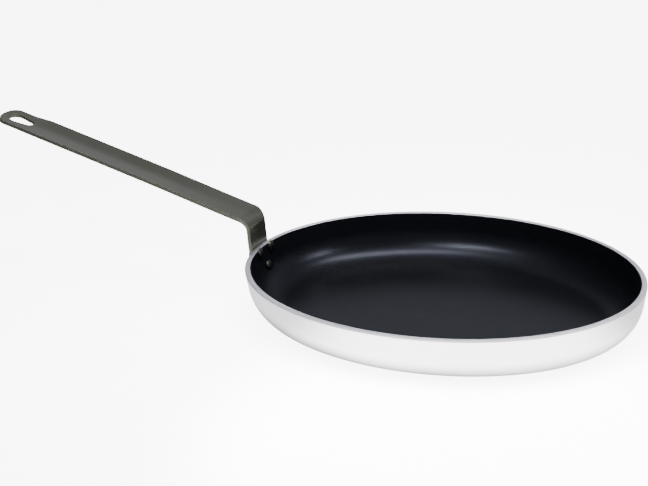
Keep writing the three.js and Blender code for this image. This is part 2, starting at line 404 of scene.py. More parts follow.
def new_material(name: str) -> tuple[Material, NodeBoard, bpy.types.Node]:
    """Makes a material with one principled shader.

    Args:
        name: the finish's name.

    Returns:
        The material, its node board and its shader.
    """
    material = bpy.data.materials.new(name)
    material.use_nodes = True
    board = NodeBoard(material.node_tree)
    shader = board.add("ShaderNodeBsdfPrincipled")
    output = board.add("ShaderNodeOutputMaterial")
    board.tree.links.new(shader.outputs["BSDF"], output.inputs["Surface"])
    return material, board, shader


def new_glow(name: str) -> tuple[Material, NodeBoard, bpy.types.Node]:
    """Makes a black material that only glows, in white.

    Args:
        name: the finish's name.

    Returns:
        The material, its node board and its shader.
    """
    material, board, shader = new_material(name)
    board.feed(shader, Base_Color=BLACK, Emission_Color=WHITE, Specular_IOR_Level=0.0)
    return material, board, shader


@dataclass(frozen=True)
class BareAluminium:
    """Pressed and spun aluminium, satin, with faint turned rings, cloudy patches and a machined rim."""

    bright: Colour = (0.89, 0.868, 0.915)
    dull: Colour = (0.79, 0.772, 0.83)
    roughness: Pair = (0.26, 0.38)
    rim_roughness: float = 0.65
    rim_stretch: float = 0.2
    rim_turn: float = 0.25
    clouds_per_metre: float = 14.0
    grain_per_metre: float = 2200.0
    rings_per_metre: float = 900.0
    cloud_share: float = 0.7
    ring_share: float = 0.6
    ring_depth: float = 0.00003
    bump: float = 0.25

    def material(self) -> Material:
        """Builds the finish.

        Returns:
            The material.
        """
        material, board, shader = new_material("bare_aluminium")
        coordinates = board.add("ShaderNodeTexCoord")
        place = coordinates.outputs["Object"]
        split = board.add("ShaderNodeSeparateXYZ")
        board.feed(split, Vector=coordinates.outputs["UV"])
        clouds = board.noise(place, self.clouds_per_metre, detail=3.0)
        grain = board.noise(place, self.grain_per_metre, detail=2.0)
        rings = board.line_noise(split.outputs["Y"], self.rings_per_metre, detail=3.0)
        mixed = board.weigh(clouds, rings, self.cloud_share)
        colour = board.tint(mixed, [(0.35, self.dull), (0.62, self.bright)])
        satin = board.spread(mixed, 0.3, 0.7, *self.roughness)
        rim = board.add("ShaderNodeAttribute", attribute_name="worked").outputs["Fac"]
        roughness = board.fade(rim, satin, self.rim_roughness)
        stretch = board.combine("MULTIPLY", rim, self.rim_stretch)
        tangent = board.add("ShaderNodeTangent", direction_type="UV_MAP", uv_map="surface")
        normal = board.bump(board.weigh(rings, grain, self.ring_share), self.bump, self.ring_depth)
        board.feed(shader, Base_Color=colour, Metallic=1.0, Roughness=roughness, Normal=normal)
        board.feed(shader, Anisotropic=stretch, Anisotropic_Rotation=self.rim_turn)
        board.feed(shader, Tangent=tangent.outputs["Tangent"])
        return material


@dataclass(frozen=True)
class NonStickCoating:
    """Sprayed blue-black coating with a fine pebble and a sparse fleck."""

    base: Colour = (0.0038, 0.0041, 0.0052)
    pale: Colour = (0.0050, 0.0053, 0.0068)
    fleck: Colour = (0.02, 0.021, 0.024)
    sheen: Colour = (0.74, 0.79, 1.0)
    roughness: Pair = (0.27, 0.35)
    bending: float = 1.325
    pebble_per_metre: float = 1100.0
    pebble_depth: float = 0.00002
    bump: float = 0.5
    clouds_per_metre: float = 22.0
    flecks_per_metre: float = 700.0
    fleck_reaches: Pair = (0.06, 0.16)
    fleck_strength: float = 0.5

    def material(self) -> Material:
        """Builds the finish.

        Returns:
            The material.
        """
        material, board, shader = new_material("nonstick")
        place = board.add("ShaderNodeTexCoord").outputs["Object"]
        pebble = board.noise(place, self.pebble_per_metre, detail=3.0, roughness=0.6)
        clouds = board.noise(place, self.clouds_per_metre, detail=3.0)
        specks = board.add("ShaderNodeTexVoronoi", feature="F1")
        board.feed(specks, Vector=place, Scale=self.flecks_per_metre)
        strength = self.fleck_strength
        speck = board.spread(specks.outputs["Distance"], *self.fleck_reaches, strength, 0.0)
        colour = board.tint(clouds, [(0.3, self.base), (0.7, self.pale)])
        flecked = board.blend(speck, colour, self.fleck)
        roughness = board.spread(pebble, 0.3, 0.7, *self.roughness)
        normal = board.bump(pebble, self.bump, self.pebble_depth)
        board.feed(shader, Base_Color=flecked, Roughness=roughness, Normal=normal, IOR=self.bending)
        board.feed(shader, Specular_Tint=(*self.sheen, 1.0))
        return material


@dataclass(frozen=True)
class GreySteel:
    """Grey coated steel strip, satin and slightly olive, paler where its edges have been rubbed."""

    base: Colour = (0.0255, 0.0250, 0.0185)
    pale: Colour = (0.0305, 0.0298, 0.0230)
    rubbed: Colour = (0.036, 0.0355, 0.031)
    sheen: Colour = (1.0, 0.985, 0.80)
    roughness: Pair = (0.21, 0.27)
    edge_roughness: float = 0.7
    bending: float = 2.12
    clouds_per_metre: float = 30.0
    grain_per_metre: float = 1600.0
    drawn_per_metre: float = 1400.0
    grain_share: float = 0.7
    grain_depth: float = 0.000008
    bump: float = 0.3
    rub: Pair = (0.2, 0.9)

    def material(self) -> Material:
        """Builds the finish.

        Returns:
            The material.
        """
        material, board, shader = new_material("grey_steel")
        coordinates = board.add("ShaderNodeTexCoord")
        place = coordinates.outputs["Object"]
        split = board.add("ShaderNodeSeparateXYZ")
        board.feed(split, Vector=coordinates.outputs["UV"])
        clouds = board.noise(place, self.clouds_per_metre, detail=4.0, roughness=0.55)
        grain = board.noise(place, self.grain_per_metre, detail=3.0, roughness=0.6)
        drawn = board.line_noise(split.outputs["Y"], self.drawn_per_metre, detail=2.0)
        wear = board.add("ShaderNodeAttribute", attribute_name="worked").outputs["Fac"]
        rubbed = board.combine("MULTIPLY", wear, board.spread(clouds, 0.35, 0.65, *self.rub))
        colour = board.tint(clouds, [(0.3, self.base), (0.72, self.pale)])
        worn = board.blend(rubbed, colour, self.rubbed)
        satin = board.spread(grain, 0.3, 0.7, *self.roughness)
        roughness = board.fade(wear, satin, self.edge_roughness)
        height = board.weigh(grain, drawn, self.grain_share)
        normal = board.bump(height, self.bump, self.grain_depth)
        board.feed(shader, Base_Color=worn, Roughness=roughness, Normal=normal, IOR=self.bending)
        board.feed(shader, Specular_Tint=(*self.sheen, 1.0))
        return material


@dataclass(frozen=True)
class RivetSteel:
    """Dark satin steel of the rivets."""

    base: Colour = (0.050, 0.049, 0.041)
    pale: Colour = (0.080, 0.078, 0.067)
    roughness: Pair = (0.28, 0.40)
    clouds_per_metre: float = 160.0
    grain_per_metre: float = 2600.0
    grain_depth: float = 0.00003
    bump: float = 0.25

    def material(self) -> Material:
        """Builds the finish.

        Returns:
            The material.
        """
        material, board, shader = new_material("rivet_steel")
        place = board.add("ShaderNodeTexCoord").outputs["Object"]
        clouds = board.noise(place, self.clouds_per_metre, detail=3.0)
        grain = board.noise(place, self.grain_per_metre, detail=2.0)
        colour = board.tint(clouds, [(0.3, self.base), (0.7, self.pale)])
        roughness = board.spread(grain, 0.3, 0.7, *self.roughness)
        normal = board.bump(grain, self.bump, self.grain_depth)
        board.feed(shader, Base_Color=colour, Metallic=1.0, Roughness=roughness, Normal=normal)
        return material


@dataclass(frozen=True)
class PaleFloor:
    """Plain matt white studio floor, lit from below as well."""

    colour: Colour = (0.86, 0.86, 0.86)
    roughness: float = 0.9
    gloss: float = 0.1
    glow: float = 8.2
    backdrop_glow: float = 9.0

    def material(self) -> Material:
        """Builds the finish.

        Returns:
            The material.
        """
        material, board, shader = new_material("pale_floor")
        white = (*self.colour, 1.0)
        board.feed(shader, Base_Color=white, Roughness=self.roughness, Specular_IOR_Level=self.gloss)
        board.feed(shader, Emission_Color=white, Emission_Strength=self.glow)
        return material

    def backdrop(self) -> Material:
        """Builds the backdrop's finish, which glows as brightly as the lit floor.

        Returns:
            The material.
        """
        material, board, shader = new_glow("pale_backdrop")
        board.feed(shader, Emission_Strength=self.backdrop_glow)
        return material


@dataclass(frozen=True)
class LightPool:
    """Glow of the table as the pieces see it: a core in front of the pan, a halo and a shade below it."""

    core_middle: Point = (0.10, -0.20, 0.0)
    core: float = 4.6
    core_reaches: Pair = (0.14, 0.26)
    halo_middle: Point = (0.0, -0.05, 0.0)
    halo: float = 2.4
    halo_reach: float = 0.33
    dim: float = 0.3
    base_middle: Pair = (-0.007, 0.0)
    base_oval: Pair = (0.144, 0.104)
    shade: float = 0.1
    shade_reaches: Pair = (1.10, 1.42)

    def material(self) -> Material:
        """Builds the glow, which falls with the distance from the middles of core and halo.

        The halo is e to the minus square of the distance over its reach. The shade falls on the pan's
        base oval, whose edge is where the square root of x over its half length squared plus y over its
        half width squared is 1.

        Returns:
            The material.
        """
        material, board, shader = new_glow("light_pool")
        place = board.add("ShaderNodeTexCoord").outputs["Object"]
        from_core = board.distance(place, self.core_middle)
        core = board.spread(from_core, *self.core_reaches, self.core, 0.0, smooth=True)
        squared = board.combine("POWER", board.distance(place, self.halo_middle), 2.0)
        scaled = board.combine("MULTIPLY", squared, -1.0 / self.halo_reach**2)
        fall = board.combine("EXPONENT", scaled, 0.0)
        halo = board.combine("ADD", board.combine("MULTIPLY", fall, self.halo), self.dim)
        oval = board.add("ShaderNodeVectorMath", operation="MULTIPLY_ADD")
        board.join(place, oval.inputs[0])
        board.join((1.0 / self.base_oval[0], 1.0 / self.base_oval[1], 0.0), oval.inputs[1])
        shift = [-middle / half for middle, half in zip(self.base_middle, self.base_oval)]
        board.join((*shift, 0.0), oval.inputs[2])
        share = board.add("ShaderNodeVectorMath", operation="LENGTH")
        board.join(oval.outputs["Vector"], share.inputs[0])
        shade = board.spread(share.outputs["Value"], *self.shade_reaches, self.shade, 1.0, smooth=True)
        glow = board.combine("MULTIPLY", board.combine("ADD", core, halo), shade)
        board.feed(shader, Emission_Strength=glow)
        return material


def finish_piece(piece: Piece, node: str, slot: Slot, material: Material) -> None:
    """Dresses a piece and sets it in the frame in place of its CAD node.

    Args:
        piece: the new piece.
        node: the CAD node that it stands for.
        slot: the record's slot of its finish.
        material: its finish.
    """
    piece.data.materials.append(material)
    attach(piece, ROOT_BODY)
    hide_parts(node)
    LOG.info("%s: %d faces, %s", piece.name, len(piece.data.polygons), slot.value)


@dataclass(frozen=True)
class PanShape:
    """Sizes of the pan's oval, base and wall, shared by all that lies on the wall.

    Each ring of the pan is the rim's oval drawn in by an inset: at a turn t it stands at
    (half_length - inset) cos t and (half_width - inset) sin t.
    """

    half_length: float
    half_width: float
    height: float
    sheet: float = 0.005
    flare: float = math.radians(9.0)
    base_fillet: float = 0.034
    rim_round: float = 0.0015
    rim_break: float = 0.0005
    lining_gap: float = 0.00002
    lining: float = 0.00025
    turns: int = 320
    fillet_rows: int = 18
    wall_rows: int = 8
    disc_rows: int = 10

    @classmethod
    def from_frame(cls) -> PanShape:
        """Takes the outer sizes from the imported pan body, which is widest where the rim's round starts."""
        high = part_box("pan_body")[1]
        drawn_in = cls.rim_round * math.tan(cls.flare)
        return cls(half_length=high[0] + drawn_in, half_width=high[1] + drawn_in, height=high[2])

    @property
    def fillet_top(self) -> float:
        """Height at which the straight wall starts."""
        return self.base_fillet * (1.0 - math.sin(self.flare))

    @property
    def straight(self) -> float:
        """Length of the straight wall, down its outer face."""
        return (self.height - self.fillet_top) / math.cos(self.flare)

    @property
    def flat_inset(self) -> float:
        """Inset of the flat base's edge."""
        return self.straight * math.sin(self.flare) + self.base_fillet * math.cos(self.flare)

    @property
    def lining_face(self) -> float:
        """Depth of the lining's bare face below the outer face."""
        return self.sheet + self.lining_gap + self.lining

    def wall_inset(self, depth: float, height: float) -> float:
        """Inset of the straight wall at a depth below its outer face and a height.

        Args:
            depth: below the outer face.
            height: above the base's underside.

        Returns:
            The inset.
        """
        return (self.height - height) * math.tan(self.flare) + depth / math.cos(self.flare)

    def wall_profile(self, depth: float, top: float) -> np.ndarray:
        """Profile of the wall from the flat base's edge up to a height.

        A round whose centre is the same for all depths and whose radius is the base fillet less the depth,
        then a straight.

        Args:
            depth: below the outer face.
            top: height at which it ends.

        Returns:
            Rows of inset and height.
        """
        radius = self.base_fillet - depth
        lean = np.linspace(math.pi / 2.0, self.flare, self.fillet_rows)
        insets = self.flat_inset - radius * np.cos(lean)
        heights = self.base_fillet - radius * np.sin(lean)
        arc = np.column_stack((insets, heights))
        end = np.array([self.wall_inset(depth, top), top])
        share = np.linspace(0.0, 1.0, self.wall_rows)[1:, None]
        return np.vstack((arc, arc[-1] + share * (end - arc[-1])))

    def rings(self, profile: np.ndarray) -> np.ndarray:
        """Carries a profile round the oval.

        Args:
            profile: rows of inset and height.

        Returns:
            A grid of points, a row for each ring.
        """
        turn = np.linspace(0.0, 2.0 * math.pi, self.turns, endpoint=False)
        inset = profile[:, :1]
        x = (self.half_length - inset) * np.cos(turn)
        y = (self.half_width - inset) * np.sin(turn)
        z = np.broadcast_to(profile[:, 1:], x.shape)
        return np.stack((x, y, z), axis=-1)

    def disc(self, inset: float, height: float) -> np.ndarray:
        """Flat oval from its centre out: one ring scaled evenly from 0 to 1.

        Args:
            inset: inset of its edge.
            height: its height.

        Returns:
            A grid of points, with the centre first.
        """
        edge = self.rings(np.array([[inset, height]]))[0]
        share = np.linspace(0.0, 1.0, self.disc_rows)[:, None, None]
        return edge * np.array([1.0, 1.0, 0.0]) * share + np.array([0.0, 0.0, height])

    def shell(self, profile: np.ndarray) -> np.ndarray:
        """Closed shell from the middle of its outer flat, round a profile, to the middle of its inner flat.

        Args:
            profile: rows of inset and height that start and end on a flat.

        Returns:
            A grid of points, a row for each ring.
        """
        outer = self.disc(*profile[0])[:-1]
        inner = self.disc(*profile[-1])[-2::-1]
        return np.concatenate((outer, self.rings(profile), inner))

    def wall_point(self, distance: np.ndarray, across: np.ndarray, depth: np.ndarray) -> np.ndarray:
        """Places at the handle's end, square to the wall's outer face.

        The point of the outer face is moved into the pan along the oval's level normal, tipped up by the
        wall's lean.

        Args:
            distance: down the wall from the rim.
            across: place along Y.
            depth: into the pan from the outer face.

        Returns:
            The points.
        """
        lean = self.flare + np.clip(distance - self.straight, 0.0, None) / self.base_fillet
        on_straight = distance <= self.straight
        bent_inset = self.flat_inset - self.base_fillet * np.cos(lean)
        bent_height = self.base_fillet * (1.0 - np.sin(lean))
        inset = np.where(on_straight, distance * math.sin(self.flare), bent_inset)
        height = np.where(on_straight, self.height - distance * math.cos(self.flare), bent_height)
        length_here = self.half_length - inset
        width_here = self.half_width - inset
        x = -length_here * np.sqrt(1.0 - (across / width_here) ** 2)
        level = np.stack((-x / length_here**2, -across / width_here**2), axis=-1)
        level /= np.linalg.norm(level, axis=-1, keepdims=True)
        tipped = level * np.cos(lean)[..., None]
        inward = np.concatenate((tipped, np.sin(lean)[..., None]), axis=-1)
        return np.stack((x, across, height), axis=-1) + depth[..., None] * inward


def ring_uv(points: np.ndarray) -> np.ndarray:
    """UV places of a closed grid of rings: the turn along U, and the distance over the rings along V.

    Args:
        points: the grid.

    Returns:
        UV places with the first column given again at the end.
    """
    columns = points.shape[1]
    steps = np.linalg.norm(np.diff(points[:, 0], axis=0), axis=-1)
    distance = np.concatenate(([0.0], np.cumsum(steps)))
    turn = np.linspace(0.0, 1.0, columns + 1)
    return np.stack(np.broadcast_arrays(turn, distance[:, None]), axis=-1)


@dataclass
class PanBody:
    """The pressed oval pan: flat base, rounded-up wall and machined rim."""

    shape: PanShape
    rim_rows: int = 7
    land_rows: int = 3
    rubbed_middle: float = -0.008
    rubbed_reach: float = 0.026

    def rim_profile(self) -> np.ndarray:
        """The rim from the wall's outer face to its inner edge: a quarter round, then the flat land.

        Returns:
            Rows of inset and height.
        """
        shape = self.shape
        land_start = shape.wall_inset(0.0, shape.height - shape.rim_round) + shape.rim_round
        land_end = shape.wall_inset(shape.sheet, shape.height) - shape.rim_break
        turn = np.linspace(0.0, math.pi / 2.0, self.rim_rows)[1:]
        insets = land_start - shape.rim_round * np.cos(turn)
        heights = shape.height - shape.rim_round * (1.0 - np.sin(turn))
        land = np.linspace(land_start, land_end, self.land_rows + 1)[1:]
        flat = np.column_stack((land, np.full(self.land_rows, shape.height)))
        return np.vstack((np.column_stack((insets, heights)), flat))

    def machined(self, points: np.ndarray) -> np.ndarray:
        """Share of fresh machining on the rim, which is rubbed smooth beside the handle's foot.

        1, less e to the minus square of the distance along Y from the rubbed middle over its reach.

        Args:
            points: the rim's rings.

        Returns:
            The share at each point.
        """
        rubbed = np.exp(-(((points[..., 1] - self.rubbed_middle) / self.rubbed_reach) ** 2))
        return 1.0 - np.where(points[..., 0] < 0.0, rubbed, 0.0)

    def build(self, finish: BareAluminium) -> Piece:
        """Builds and dresses the pan.

        Args:
            finish: its finish.

        Returns:
            The piece.
        """
        shape = self.shape
        outer = shape.wall_profile(0.0, shape.height - shape.rim_round)
        inner = shape.wall_profile(shape.sheet, shape.height - shape.rim_break)[::-1]
        rim = self.rim_profile()
        points = shape.shell(np.vstack((outer, rim, inner)))
        worked = np.zeros(points.shape[:2])
        first = shape.disc_rows - 1 + len(outer)
        worked[first : first + len(rim)] = self.machined(points[first : first + len(rim)])
        surface = SurfaceMesh()
        surface.add_grid(points, ring_uv(points), True, worked)
        piece = surface.piece("pan_body_skin")
        finish_piece(piece, "pan_body", Slot.BARE_ALUMINIUM, finish.material())
        return piece


@dataclass
class NonStickLining:
    """The dark coating that lines the pan up to the rim's inner edge."""

    shape: PanShape

    def build(self, finish: NonStickCoating) -> Piece:
        """Builds and dresses the lining, a thin shell just off the wall.

        Args:
            finish: its finish.

        Returns:
            The piece.
        """
        shape = self.shape
        top = shape.height - shape.rim_break
        bonded = shape.wall_profile(shape.sheet + shape.lining_gap, top)
        bare = shape.wall_profile(shape.lining_face, top)[::-1]
        points = shape.shell(np.vstack((bonded, bare)))
        surface = SurfaceMesh()
        surface.add_grid(points, ring_uv(points), closed=True)
        piece = surface.piece("nonstick_lining_skin")
        finish_piece(piece, "nonstick_lining", Slot.NONSTICK, finish.material())
        return piece


@dataclass
class StripHandle:
    """The strip handle: a flat blank with rounded edges and a teardrop slot, dished and bent.

    The blank is laid out along the strip (0 at the rim, below it negative), across it, and by height above
    its upper face.
    """

    shape: PanShape
    strip: float = 0.0037
    foot_width: float = 0.030
    grip_width: float = 0.0354
    tip_width: float = 0.032
    foot_corner: float = 0.008
    foot_length: float = 0.030
    foot_clearance: float = 0.0003
    foot_lean: float = math.radians(3.2)
    rim_set: float = 0.003
    bend_height: float = 0.0281
    bend_radius: float = 0.0136
    grip_rise: float = math.radians(15.0)
    grip_length: float = 0.2794
    grip_dish: float = 0.00136
    end_dish: float = 0.0004
    dish_run_in: float = 0.110
    dish_softness: float = 0.35
    tip_length: float = 0.0226
    tip_taper: float = 0.025
    tip_round: float = 0.010
    slot_length: float = 0.0261
    slot_width: float = 0.0164
    slot_neck: float = 0.0119
    slot_to_tip: float = 0.0077
    edge_round: float = 0.0004
    side_wear: float = 0.55
    across_steps: int = 20
    edge_steps: int = 5
    corner_rows: int = 9
    run_rows: tuple[int, int, int, int] = (36, 25, 90, 17)
    tip_rows: int = 15
    tip_reach: float = math.radians(84.0)
    slot_rows: int = 9
    slot_steps: int = 60
    slot_margin: float = 0.006
    line_step: float = 0.00025

    @property
    def bend_turn(self) -> float:
        """Angle through which the strip bends from foot to grip."""
        return math.pi / 2.0 - self.grip_rise - self.foot_lean

    @property
    def bend_setback(self) -> float:
        """Length from the corner of foot and grip to where the bend starts."""
        return self.bend_radius * math.tan(self.bend_turn / 2.0)

    @property
    def foot_top(self) -> float:
        """Place along the strip where the bend starts."""
        return self.bend_height / math.cos(self.foot_lean) - self.bend_setback

    @property
    def bend_end(self) -> float:
        """Place along the strip where the bend ends."""
        return self.foot_top + self.bend_radius * self.bend_turn

    @property
    def tip(self) -> float:
        """Place of the tip along the strip."""
        return self.bend_end + self.grip_length - self.bend_setback

    def angle(self, along: np.ndarray) -> np.ndarray:
        """Angle of the upper face's normal from +X, which changes evenly between a few places.

        Args:
            along: places along the strip.

        Returns:
            The angles.
        """
        shape = self.shape
        lowest = shape.flare + (self.foot_length - shape.straight) / shape.base_fillet
        foot = (-self.foot_length, -shape.straight, -self.rim_set, self.rim_set)
        places = (*foot, self.foot_top, self.bend_end)
        upright = math.pi / 2.0 - self.grip_rise
        angles = (lowest, shape.flare, shape.flare, self.foot_lean, self.foot_lean, upright)
        return np.interp(along, places, angles)

    def middle_line(self, along: np.ndarray) -> np.ndarray:
        """Middle line of the upper face: the running sum of its direction, the normal turned by 90 degrees.

        Args:
            along: places along the strip.

        Returns:
            X and Z at each place.
        """
        below = math.ceil(self.foot_length / self.line_step) + 1
        above = math.ceil(self.tip / self.line_step) + 1
        table = np.arange(-below, above) * self.line_step
        middle = self.angle((table[1:] + table[:-1]) / 2.0)
        x = np.concatenate(([0.0], np.cumsum(-np.sin(middle)))) * self.line_step
        z = np.concatenate(([0.0], np.cumsum(np.cos(middle)))) * self.line_step
        x += -self.shape.half_length - self.foot_clearance - x[below]
        z += self.shape.height - z[below]
        return np.stack((np.interp(along, table, x), np.interp(along, table, z)), axis=-1)

    def tip_share(self, along: np.ndarray) -> np.ndarray:
        """Share of the tip's form, which comes in smoothly over the taper.

        Args:
            along: places along the strip.

        Returns:
            0 on the grip and 1 on the tip.
        """
        start = self.tip - self.tip_length
        return smoothstep(along, start - self.tip_taper, start)

    def body_width(self, along: np.ndarray) -> np.ndarray:
        """Width of the strip before its ends are rounded.

        Args:
            along: places along the strip.

        Returns:
            The widths.
        """
        widen = smoothstep(along, self.foot_top, self.bend_end)
        width = self.foot_width + (self.grip_width - self.foot_width) * widen
        return width + (self.tip_width - self.grip_width) * self.tip_share(along)

    def cupping(self, along: np.ndarray, across: np.ndarray) -> np.ndarray:
        """Height of the strip's section above its middle.

        The foot follows the pan's end, a parabola of that end's radius, which fades over the bend. The grip
        is dished: a soft fold that rises to the edges, deepens from the bend and runs out at the tip.

        Args:
            along: places along the strip.
            across: places across it.

        Returns:
            The heights along the normal.
        """
        shape = self.shape
        end_radius = shape.half_width**2 / shape.half_length
        share = np.clip((along - self.foot_top) / (self.bend_end - self.foot_top), 0.0, 1.0)
        curve = np.cos(self.foot_lean) * across**2 / (2.0 * end_radius) * (1.0 - share)
        run_in = smoothstep(along, self.bend_end, self.bend_end + self.dish_run_in)
        run_out = 1.0 - self.tip_share(along)
        dish = share * (self.end_dish + (self.grip_dish - self.end_dish) * run_in * run_out)
        soft = self.dish_softness
        rise = np.hypot(across / (self.body_width(along) / 2.0), soft) - soft
        return curve + dish * rise / (math.hypot(1.0, soft) - soft)

    def place(self, along: np.ndarray, across: np.ndarray, height: np.ndarray) -> np.ndarray:
        """Bends places of the flat blank into the handle.

        Each place is the middle line's point, moved across along Y and along the normal by its height and
        the section's.

        Args:
            along: places along the strip.
            across: places across it.
            height: heights above the upper face.

        Returns:
            The points.
        """
        angle = self.angle(along)
        line = self.middle_line(along)
        lift = height + self.cupping(along, across)
        x = line[..., 0] + np.cos(angle) * lift
        z = line[..., 1] + np.sin(angle) * lift
        return np.stack((x, np.broadcast_to(across, x.shape), z), axis=-1)

    def rows(self) -> tuple[np.ndarray, np.ndarray, int]:
        """Rows across the blank's flat face, within its rounded edges.

        Returns:
            Each row's place along the strip, its half width, and the number of the row at which the slot's
            part starts.
        """
        corner = self.foot_corner - self.edge_round
        turn = np.linspace(0.0, math.pi / 2.0, self.corner_rows)
        foot_end = -(self.foot_length - self.edge_round)
        foot_rows = foot_end + corner * (1.0 - np.cos(turn))
        foot_half = self.foot_width / 2.0 - self.foot_corner + corner * np.sin(turn)
        slot_part = self.tip - self.slot_to_tip - self.slot_length - self.slot_margin
        round_start = self.tip - self.tip_round
        stops = (foot_rows[-1], self.foot_top, self.bend_end, slot_part, round_start)
        runs = zip(stops[:-1], stops[1:], self.run_rows)
        straight = np.concatenate([np.linspace(start, end, count)[1:] for start, end, count in runs])
        tip_turn = np.linspace(0.0, self.tip_reach, self.tip_rows)[1:]
        tip_rows = round_start + (self.tip_round - self.edge_round) * np.sin(tip_turn)
        body_half = self.body_width(np.concatenate((straight, tip_rows))) / 2.0 - self.edge_round
        body_half[len(straight):] *= np.cos(tip_turn)
        along = np.concatenate((foot_rows, straight, tip_rows))
        slot_row = int(np.argmin(np.abs(along - slot_part)))
        return along, np.concatenate((foot_half, body_half)), slot_row

    def slot_outline(self, angle: np.ndarray) -> np.ndarray:
        """The teardrop round the slot, widened by the edge's round, by its direction from its middle.

        Two circles joined by their common tangents, read off a dense outline by angle.

        Args:
            angle: directions from the middle, 0 towards the tip.

        Returns:
            Places along and across the strip.
        """
        wide = self.slot_width / 2.0
        narrow = self.slot_neck / 2.0
        between = self.slot_length - wide - narrow
        contact = math.acos((narrow - wide) / between)
        head = np.linspace(0.0, contact, self.slot_steps)
        tail = np.linspace(contact, math.pi, self.slot_steps)
        shift = (between + narrow - wide) / 2.0
        wide_round = np.column_stack((np.cos(head), np.sin(head))) * (wide + self.edge_round)
        narrow_round = np.column_stack((np.cos(tail), np.sin(tail))) * (narrow + self.edge_round)
        wide_round[:, 0] += shift
        narrow_round[:, 0] += shift - between
        share = np.linspace(0.0, 1.0, self.slot_steps)[1:-1, None]
        tangent = wide_round[-1] * (1.0 - share) + narrow_round[0] * share
        half = np.vstack((wide_round, tangent, narrow_round))
        turned = np.arctan2(half[:, 1], half[:, 0])
        reach = np.interp(np.abs(angle), turned, np.hypot(half[:, 0], half[:, 1]))
        return np.stack((self.slot_middle + reach * np.cos(angle), reach * np.sin(angle)), axis=-1)

    @property
    def slot_middle(self) -> float:
        """Place of the slot's middle along the strip."""
        return self.tip - self.slot_to_tip - self.slot_length / 2.0

    def add_face(
        self, surface: SurfaceMesh, along: np.ndarray, across: np.ndarray, height: float, closed: bool
    ) -> None:
        """Adds a part of the upper or lower face.

        Args:
            surface: the mesh to add to.
            along: places along the strip, rows by columns.
            across: places across it.
            height: 0 for the upper face and minus the strip's thickness for the lower one.
            closed: the last column joins the first.
        """
        uv = np.stack((along, across), axis=-1)
        if closed:
            uv = np.concatenate((uv, uv[:, :1]), axis=1)
        surface.add_grid(self.place(along, across, np.full(along.shape, height)), uv, closed)

    def add_edge(self, surface: SurfaceMesh, loop: np.ndarray, outward: float) -> None:
        """Adds the rounded edge round a closed outline: quarter round, straight side, quarter round.

        The wear on a round is the sine of twice its turn, plus the side's wear times the sine squared.

        Args:
            surface: the mesh to add to.
            loop: the flat face's outline, along and across.
            outward: 1 where the edge lies outside the outline as it runs, and -1 where it lies inside.
        """
        run = np.roll(loop, -1, axis=0) - np.roll(loop, 1, axis=0)
        run /= np.linalg.norm(run, axis=-1, keepdims=True)
        normal = outward * np.column_stack((run[:, 1], -run[:, 0]))
        turn = np.linspace(0.0, math.pi / 2.0, self.edge_steps)
        reach = np.concatenate((np.sin(turn), np.sin(turn)[::-1])) * self.edge_round
        drop = self.edge_round * (1.0 - np.cos(turn))
        height = np.concatenate((-drop, -(self.strip - drop[::-1])))
        along = loop[:, 0] + reach[:, None] * normal[:, 0]
        across = loop[:, 1] + reach[:, None] * normal[:, 1]
        points = self.place(along, across, np.broadcast_to(height[:, None], along.shape))
        uv = np.stack((along, across + height[:, None]), axis=-1)
        worn = np.minimum(np.sin(2.0 * turn) + self.side_wear * np.sin(turn) ** 2, 1.0)
        wear = np.broadcast_to(np.concatenate((worn, worn[::-1]))[:, None], along.shape)
        surface.add_grid(points, np.concatenate((uv, uv[:, :1]), axis=1), True, wear)

    def build(self, finish: GreySteel) -> Piece:
        """Builds and dresses the handle.

        Args:
            finish: its finish.

        Returns:
            The piece.
        """
        surface = SurfaceMesh()
        rows, half, slot_row = self.rows()
        share = np.linspace(-1.0, 1.0, self.across_steps + 1)
        plain_along = np.repeat(rows[: slot_row + 1, None], len(share), 1)
        plain_across = half[: slot_row + 1, None] * share
        cut = np.column_stack((np.full(len(share), rows[slot_row]), half[slot_row] * share))
        side = np.column_stack((rows, half))
        mirrored = side * np.array([1.0, -1.0])
        slot_part = np.vstack((cut, side[slot_row + 1 :], mirrored[:slot_row:-1]))
        slot_angle = np.arctan2(slot_part[:, 1], slot_part[:, 0] - self.slot_middle)
        slot_loop = self.slot_outline(slot_angle)
        inward = np.linspace(0.0, 1.0, self.slot_rows)[:, None, None]
        ring = slot_part * (1.0 - inward) + slot_loop * inward
        for height in (0.0, -self.strip):
            self.add_face(surface, plain_along, plain_across, height, False)
            self.add_face(surface, ring[..., 0], ring[..., 1], height, True)
        foot = np.column_stack((np.full(len(share), rows[0]), half[0] * share))
        self.add_edge(surface, np.vstack((foot, side[1:], mirrored[:0:-1])), -1.0)
        self.add_edge(surface, slot_loop, 1.0)
        piece = surface.piece("handle_strip")
        finish_piece(piece, "handle", Slot.GREY_STEEL, finish.material())
        return piece


